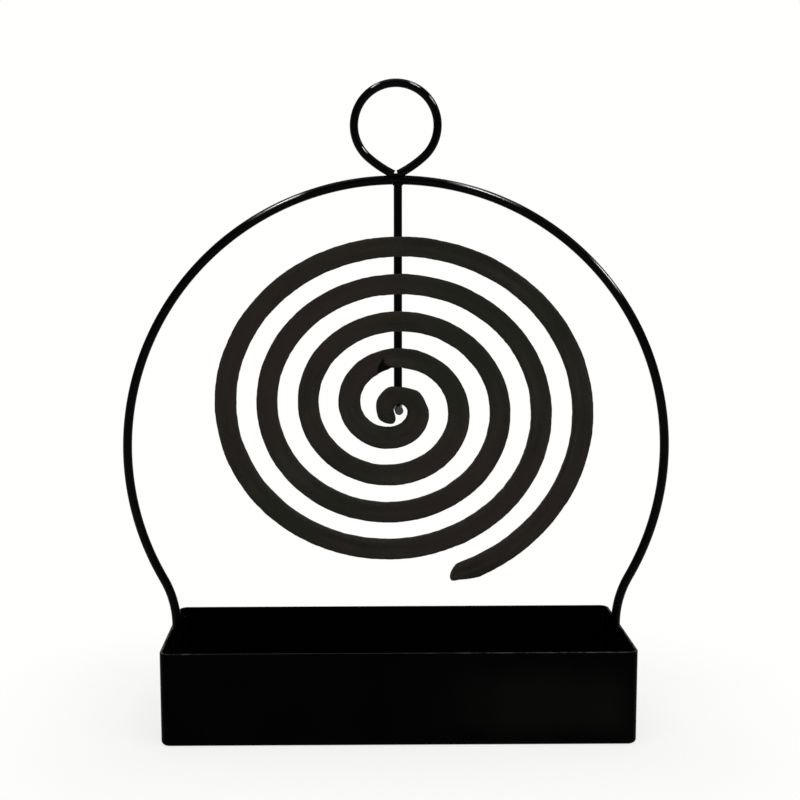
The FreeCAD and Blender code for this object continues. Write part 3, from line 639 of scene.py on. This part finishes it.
# Worn places, painted highlights and a painted reflection: each pair is where one begins and where it is
# full, in mm; a share says how strong it is
marks = {
    # rim and corner marks: partly wear, partly a painted highlight line along the rim and down the front
    # corners
    "rim": (29.82, 29.97), "rimShare": 0.03,
    "rimRight": (-5.0, 25.0), "rimRightShare": 0.22,
    "rimLeft": (-61.0, -65.0), "rimLeftShare": 0.30,
    "cornerX": (73.6, 74.6), "cornerY": (23.6, 24.6), "cornerMiddle": (-1.0, 1.0),
    "cornerShares": (0.015, 0.06),    # at the left and at the right
    # where the painted reflection lies on the tray's front
    "reflectionLeft": (5.0, 46.0), "reflectionRight": (75.5, 66.0), "reflectionLow": (0.0, 9.0), "reflectionHigh": (29.5, 17.0),
    "reflectionFront": (-24.0, -24.8), "reflectionShare": 0.10,
    "crown": (177.0, 178.6), "crownShare": 0.04,
    # the prong's tip and top are lighter as a painted highlight, as well as worn
    "tip": (-10.0, -10.15), "tipShare": 0.40,
    "prong": (-7.0, -8.0), "prongTop": (104.4, 105.1), "prongShare": 0.30,
    "ringTop": (206.0, 208.5), "ringTopShare": 0.02,
}


def trayWearAndHighlight(maker, x, y, z):    # the rim, partly worn steel and partly a painted highlight, more so to the right and at the left end; and the front corners, a painted highlight streak
    ends = marks["rimShare"] + marks["rimRightShare"] * maker.ramp(x, *marks["rimRight"])
    ends = ends + marks["rimLeftShare"] * maker.ramp(x, *marks["rimLeft"])
    corners = maker.ramp(maker.sum("ABSOLUTE", x), *marks["cornerX"])
    corners = corners * maker.ramp(maker.sum("ABSOLUTE", y), *marks["cornerY"])
    corners = corners * maker.ramp(x, *marks["cornerMiddle"], *marks["cornerShares"])
    return maker.ramp(z, *marks["rim"]) * ends + corners


def trayPaintedReflection(maker, x, y, z):    # a painted reflection: a faint lighter glow over the tray's front, towards the right
    reflectionX = maker.ramp(x, *marks["reflectionLeft"]) * maker.ramp(x, *marks["reflectionRight"])
    reflectionZ = maker.ramp(z, *marks["reflectionLow"]) * maker.ramp(z, *marks["reflectionHigh"])
    return reflectionX * reflectionZ * maker.ramp(y, *marks["reflectionFront"]) * marks["reflectionShare"]


def archWear(maker, x, y, z):    # the crown, where the ring is welded on
    return maker.ramp(z, *marks["crown"]) * marks["crownShare"]


def hookWearAndHighlight(maker, x, y, z):    # the prong's tip and top, where coils are put on: worn there, and lighter as a painted highlight
    top = maker.ramp(y, *marks["prong"]) * maker.ramp(z, *marks["prongTop"]) * marks["prongShare"]
    return maker.sum("MAXIMUM", maker.ramp(y, *marks["tip"]) * marks["tipShare"], top)


def ringWear(maker, x, y, z):    # where a finger or a hook holds the ring
    return maker.ramp(z, *marks["ringTop"]) * marks["ringTopShare"]


finishes = {
    "tray_pan": makeCoat("trayCoat", trayWearAndHighlight, dusty=0.5, gloss=0.008, paintedReflection=trayPaintedReflection),
    "arch_wire": makeCoat("archCoat", archWear, shiny=shine("arch")),
    "ring_loop": makeCoat("ringCoat", ringWear, dusty=0.2, shiny=shine("ring")),
    "hook_rod": makeCoat("hookCoat", hookWearAndHighlight, dusty=0.2, patched=False),
}
for node in ("tray_pan", "hook_rod"):
    for slot in frame["nodes"][node].material_slots:
        slot.material = finishes[node]
weldCoat = makeCoat("weldCoat")
print("steel coated")

# Wires: round bars bent along the same arcs as the frame's arch and ring; lengths in mm, angles in degrees
wires = {
    "archWire": {
        "radius": 1.475, "endRound": 0.35, "rowsAlong": 1000, "rowsAround": 40,
        "restHeight": 0.0, "restRadius": 0.0, "restBend": 1.0,
    },
    "ringWire": {
        "radius": 1.34, "endRound": 0.1, "rowsAlong": 360, "rowsAround": 40,
        "restHeight": 177.0, "restRadius": 1.46, "restBend": 87.5,    # the arch, on which the ring stands
    },
}
capRows, capFlat = 8.0, 0.25    # rows of faces at each end, and the share of them on its flat disc
archPath = {
    "legX": 72.65, "legEnd": 2.3, "footX": 104.65, "footZ": 31.806, "foot": 32.0,
    "crownZ": 89.5, "crown": 87.5,
}
ringPath = {"middleZ": 194.08, "round": 13.26, "leg": 36.0, "endX": 0.742, "endSlope": 26.0}


def bend(middle, radius, start, end):    # places a degree apart on an arc; angles count from the right
    count = math.ceil(abs(end - start))
    turns = [math.radians(start + (end - start) * number / count) for number in range(count + 1)]
    x, z = middle
    return [(x + radius * math.cos(turn), 0.0, z + radius * math.sin(turn)) for turn in turns]


def archLine():
    shape = archPath
    tilt = math.degrees(math.acos(shape["footX"] / (shape["crown"] + shape["foot"])))
    half = bend((0.0, shape["crownZ"]), shape["crown"], 90.0, -tilt)
    half += bend((shape["footX"], shape["footZ"]), shape["foot"], 180.0 - tilt, 180.0)[1:]
    half.append((shape["legX"], 0.0, shape["legEnd"]))
    return [(-x, y, z) for x, y, z in half[:0:-1]] + half


def ringLine():
    shape = ringPath
    more = shape["leg"] - shape["round"]
    slope = math.asin((shape["leg"] * math.sin(math.radians(shape["endSlope"])) - shape["endX"]) / more)
    middle = (-more * math.sin(slope), shape["middleZ"] + more * math.cos(slope))
    half = bend((0.0, shape["middleZ"]), shape["round"], 90.0, math.degrees(slope) - 90.0)
    half += bend(middle, shape["leg"], math.degrees(slope) - 90.0, shape["endSlope"] - 90.0)[1:]
    return [(-x, y, z) for x, y, z in half[:0:-1]] + half


def makeWireTree():
    maker, given = newTree("bentWire", wires["archWire"])
    radius, endRound = given.at("radius"), given.at("endRound")
    line = maker.node("GeometryNodeMeshToCurve", None, {"Mesh": given.at("Geometry")})
    length = maker.node("GeometryNodeCurveLength", None, {"Curve": line})
    grid = maker.node("GeometryNodeMeshGrid", None, {
        "Size X": 1.0, "Size Y": 1.0,
        "Vertices X": given.at("rowsAlong"), "Vertices Y": given.at("rowsAround") + 1.0})
    u, v, _ = maker.split(grid.at("UV Map"))
    capShare = maker.sum("DIVIDE", capRows, given.at("rowsAlong"))

    # How thick the wire is and how far in, from the middle of an end (0) to past its rounding (1)
    def rounded(share):
        turned = maker.clamp((share - capFlat) / (1.0 - capFlat)) * (math.pi / 2.0)
        thick = (radius - endRound) * maker.clamp(share / capFlat) + endRound * maker.sum("SINE", turned)
        return thick, endRound * (1.0 - maker.sum("COSINE", turned))

    nearThick, nearIn = rounded(maker.clamp(u / capShare))
    farThick, farIn = rounded(maker.clamp((1.0 - u) / capShare))
    middle = maker.clamp((u - capShare) / (1.0 - 2.0 * capShare))
    along = nearIn + (length - 2.0 * endRound) * middle + endRound - farIn
    here = maker.node("GeometryNodeSampleCurve", {"mode": "LENGTH"}, {"Curves": line, "Length": along})
    out = maker.vector("CROSS_PRODUCT", here.at("Tangent"), (0.0, 1.0, 0.0))
    thick = maker.sum("MINIMUM", nearThick, farThick)
    turn = v * (2.0 * math.pi)
    deep = maker.spot(0.0, thick * maker.sum("SINE", turn), 0.0)
    place = maker.vector("ADD", here.at("Position"), maker.scaled(out, thick * maker.sum("COSINE", turn)))
    x, y, z = maker.split(maker.vector("ADD", place, deep))

    # Its ends are filed to sit on another wire
    rest = maker.sum("MAXIMUM", given.at("restRadius") * given.at("restRadius") - y * y, 0.0) ** 0.5
    rest = rest + given.at("restHeight") - x * x * 0.5 / given.at("restBend")
    rest = maker.sum("MULTIPLY", rest, maker.sum("GREATER_THAN", given.at("restRadius"), 0.0))
    filed = maker.spot(x, y, maker.sum("MAXIMUM", z, rest))
    bent = maker.node("GeometryNodeSetPosition", None, {"Geometry": grid, "Position": filed})
    closed = maker.node("GeometryNodeMergeByDistance", None, {"Geometry": bent, "Distance": mergeReach})
    smooth = maker.node("GeometryNodeSetShadeSmooth", None, {"Geometry": closed})
    metres = maker.node("GeometryNodeTransform", None, {"Geometry": smooth, "Scale": (mm, mm, mm)})
    endTree(maker, given, metres)
    return maker


def lineMesh(name, lines, scale=1.0):    # an edge mesh through lists of places
    corners, edges = [], []
    for line in lines:
        edges += [(len(corners) + number, len(corners) + number + 1) for number in range(len(line) - 1)]
        corners += [[number * scale for number in place] for place in line]
    mesh = bpy.data.meshes.new(name)
    mesh.from_pydata(corners, edges, [])
    return mesh


wireTree = makeWireTree()
for name, node, line in (("archWire", "arch_wire", archLine()), ("ringWire", "ring_loop", ringLine())):
    wirePiece = grow(name, wireTree, wires[name], finishes[node], lineMesh(name, [line]))
    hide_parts(node)
    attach(wirePiece, "holder")
    print("wire bent:", name, len(wirePiece.data.polygons), "faces")

# Weld runs: rows of ripples that the torch leaves, along the lines of the welds
run = {
    "ripple": 0.9,          # radius, in mm; each weld has its own
    "step": 0.42,           # from one ripple to the next, as a share of the radius
    "flatness": 0.62,       # a ripple's length along the run, as a share of its width
    "smallest": 0.88,       # ripple, as a share of the largest
    "sides": 14,
    "seed": 5,
}
ripples = {"corner": 0.9, "leg": 0.75, "ring": 0.6, "rod": 0.42}    # their radii in mm
welds = {
    "inset": 0.6,           # from a run's end to its first ripple's middle, as a share of the radius
    "legLength": 6.0,       # of each run along a leg
    "rodDrop": 1.2,         # from the rod weld's top to its ripples, as a share of the radius
    "rodStep": 15,          # degrees between the places that its ring is drawn through
}


def makeRunTree():
    maker, given = newTree("weldRun", run)
    line = maker.node("GeometryNodeMeshToCurve", None, {"Mesh": given.at("Geometry")})
    radius = given.at("ripple") * mm
    points = maker.node("GeometryNodeResampleCurve", {"mode": "LENGTH"}, {
        "Curve": line, "Length": radius * given.at("step")})
    ball = maker.node("GeometryNodeMeshUVSphere", None, {
        "Segments": given.at("sides"), "Rings": given.at("sides") - 4.0, "Radius": radius})
    ripple = maker.node("GeometryNodeTransform", None, {
        "Geometry": ball, "Scale": maker.spot(1.0, 1.0, given.at("flatness"))})
    tangent = maker.node("GeometryNodeInputTangent")
    facing = maker.node("FunctionNodeAlignRotationToVector", {"axis": "Z"}, {"Vector": tangent})
    varied = maker.node("FunctionNodeRandomValue", {"data_type": "FLOAT"}, {
        2: given.at("smallest"), 3: 1.0, "Seed": given.at("seed")}, output=1)
    row = maker.node("GeometryNodeInstanceOnPoints", None, {
        "Points": points, "Instance": ripple, "Rotation": facing, "Scale": varied})
    smooth = maker.node("GeometryNodeSetShadeSmooth", None, {"Geometry": row})
    endTree(maker, given, smooth)
    return maker


runTree = makeRunTree()


def weld(name, node, lines, radius):    # lines are lists of places in mm
    piece = grow(name, runTree, dict(run, ripple=radius), weldCoat, lineMesh(name, lines, mm))
    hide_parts(node)
    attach(piece, "holder")
    return piece


def weldBox(node):    # the corners of a weld's box in mm
    return [[number / mm for number in corner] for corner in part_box(node)]


low, high = weldBox("corner_welds")
radius = ripples["corner"]
inset = radius * welds["inset"]
weld("cornerWelds", "corner_welds", [
    [(x, y, low[2] + inset), (x, y, high[2] - inset)]
    for x in (low[0] + radius, high[0] - radius)
    for y in (low[1] + radius, high[1] - radius)
], radius)
radius, length = ripples["leg"], welds["legLength"]
inset = radius * welds["inset"]
for side in ("left", "right"):
    low, high = weldBox(side + "_leg_welds")
    middleX = (low[0] + high[0]) / 2
    weld(side + "LegWelds", side + "_leg_welds", [
        [(middleX, y, foot + inset), (middleX, y, foot + length - inset)]
        for y in (low[1] + radius, high[1] - radius)
        for foot in (low[2], high[2] - length)
    ], radius)
low, high = weldBox("ring_weld")
radius = ripples["ring"]
inset = radius * welds["inset"]
middleZ = (low[2] + high[2]) / 2
weld("ringWeld", "ring_weld", [
    [(low[0] + inset, y, middleZ), (high[0] - inset, y, middleZ)]
    for y in (low[1] + radius, high[1] - radius)
], radius)
low, high = weldBox("rod_weld")
radius = ripples["rod"]
middleX, reach = (low[0] + high[0]) / 2, (high[0] - low[0]) / 2 - radius
turns = [math.radians(turn) for turn in range(0, 361, welds["rodStep"])]
rodZ = high[2] - radius * welds["rodDrop"]
weld("rodWeld", "rod_weld", [
    [(middleX + reach * math.cos(turn), reach * math.sin(turn), rodZ) for turn in turns],
], radius)
print("welds laid")

# Floor and backdrop: one pale sheet that curves up behind the object
sweep = {
    "colour": (0.93, 0.93, 0.92, 1.0),
    "evenColour": (1.0, 1.0, 0.985, 1.0),
    "front": -1.6, "bend": 1.1, "radius": 0.6, "top": 2.2, "side": 3.0,    # metres
    "drop": 0.05 * mm,        # below the tray's bottom
    "step": 10,               # degrees between the folds of its curve
    "halfWidth": 0.075, "halfDepth": 0.025,    # of the tray
    "atTray": 0.78, "reach": 0.08,    # share of the even white at the tray, and where there is nothing else
}


def makeSweep():
    line = [(sweep["front"], 0.0), (sweep["bend"], 0.0)]
    radius = sweep["radius"]
    for turn in range(sweep["step"], 91, sweep["step"]):
        angle = math.radians(turn)
        line.append((sweep["bend"] + radius * math.sin(angle), radius * (1.0 - math.cos(angle))))
    line.append((sweep["bend"] + radius, sweep["top"]))
    corners = [(x, y, z - sweep["drop"]) for y, z in line for x in (-sweep["side"], sweep["side"])]
    faces = [(2 * row, 2 * row + 1, 2 * row + 3, 2 * row + 2) for row in range(len(line) - 1)]
    mesh = bpy.data.meshes.new("sweep")
    mesh.from_pydata(corners, [], faces)
    sheet = bpy.data.objects.new("sweep", mesh)
    bpy.context.scene.collection.objects.link(sheet)
    finish = bpy.data.materials.new("paleSweep")
    finish.use_nodes = True
    finish.node_tree.nodes.clear()
    maker = Maker(finish.node_tree)
    placeX, placeY, _ = maker.split(maker.node("ShaderNodeTexCoord").at("Object"))
    pastX = maker.sum("MAXIMUM", maker.sum("ABSOLUTE", placeX) - sweep["halfWidth"], 0.0)
    pastY = maker.sum("MAXIMUM", maker.sum("ABSOLUTE", placeY) - sweep["halfDepth"], 0.0)
    away = (pastX * pastX + pastY * pastY) ** 0.5
    ray = maker.node("ShaderNodeLightPath")
    seen = maker.sum("MAXIMUM", ray.at("Is Camera Ray"), ray.at("Is Glossy Ray"))
    seen = maker.sum("MAXIMUM", seen, ray.at("Is Transmission Ray"))
    lit = maker.node("ShaderNodeBsdfDiffuse", None, {"Color": sweep["colour"]})
    even = maker.node("ShaderNodeEmission", None, {"Color": sweep["evenColour"], "Strength": 1.0})
    share = maker.ramp(away, 0.0, sweep["reach"], sweep["atTray"], 1.0) * seen
    both = maker.node("ShaderNodeMixShader", None, {0: share, 1: lit, 2: even})
    maker.node("ShaderNodeOutputMaterial", None, {"Surface": both})
    mesh.materials.append(finish)


makeSweep()

# Lamps: one broad soft light above, and four small ones that draw the thin lights on the wires
aim = (0.0, 0.0, 0.09)
lamps = {
    "topLamp": {"place": (0.0, 0.10, 0.95), "size": 0.75, "power": 2.6},
    "leftGlint": {"place": (-0.50, -0.40, 1.12), "size": 0.20, "power": 1.3},
    "highGlint": {"place": (0.43, -0.53, 1.08), "size": 0.20, "power": 1.3},
    "rightGlint": {"place": (1.05, -0.31, 0.74), "size": 0.20, "power": 1.3},
    "frontGlint": {"place": (0.84, -0.52, 0.87), "size": 0.20, "power": 1.1},
}
worldLevel = 0.36


def turnTo(thing, place, target):    # looks along its own -Z at the target
    ahead = [there - here for here, there in zip(place, target)]
    level = math.hypot(ahead[0], ahead[1])
    thing.location = place
    thing.rotation_euler = (math.atan2(level, -ahead[2]), 0.0, math.atan2(-ahead[0], ahead[1]))


for name, lamp in lamps.items():
    light = bpy.data.lights.new(name, "AREA")
    light.shape = "DISK"
    light.size = lamp["size"]
    light.energy = lamp["power"]
    thing = bpy.data.objects.new(name, light)
    bpy.context.scene.collection.objects.link(thing)
    turnTo(thing, lamp["place"], aim)


def makeWorld():    # a dim even light; past the sweep's edges the eye meets the sweep's own white
    world = bpy.data.worlds.new("studio")
    world.use_nodes = True
    bpy.context.scene.world = world
    world.node_tree.nodes.clear()
    maker = Maker(world.node_tree)
    seen = maker.node("ShaderNodeLightPath").at("Is Camera Ray")
    strength = seen + worldLevel * (1.0 - seen)
    sky = maker.node("ShaderNodeBackground", None, {"Color": sweep["evenColour"], "Strength": strength})
    maker.node("ShaderNodeOutputWorld", None, {"Surface": sky})


makeWorld()
bpy.context.scene.view_settings.view_transform = "Standard"

# Camera: worked out from the outlines in the photograph, which is cropped a little off its middle
view = {
    "place": (-14.091 * mm, -401.573 * mm, 160.622 * mm),
    "pitch": 6.3407, "yaw": 0.0885, "roll": -0.2599,    # degrees: down, right and round the line of sight
    "focal": 1248.07, "across": 45.65, "down": -29.46, "frame": 800.0,    # pixels
    "sensor": 36.0,                   # mm
    "nearest": 0.01, "furthest": 20.0,    # metres that the camera sees
}
camera = bpy.data.cameras.new("camera")
camera.sensor_width = view["sensor"]
camera.lens = view["focal"] * camera.sensor_width / view["frame"]
camera.shift_x = view["across"] / view["frame"]
camera.shift_y = view["down"] / view["frame"]
camera.clip_start = view["nearest"]
camera.clip_end = view["furthest"]
eye = bpy.data.objects.new("camera", camera)
bpy.context.scene.collection.objects.link(eye)
aimed = Matrix.Rotation(math.radians(-view["yaw"]), 3, "Z") @ Matrix.Rotation(
    math.radians(90.0 - view["pitch"]), 3, "X") @ Matrix.Rotation(math.radians(view["roll"]), 3, "Z")
eye.location = view["place"]
eye.rotation_euler = aimed.to_euler()
bpy.context.scene.camera = eye
print("lamps and camera placed")
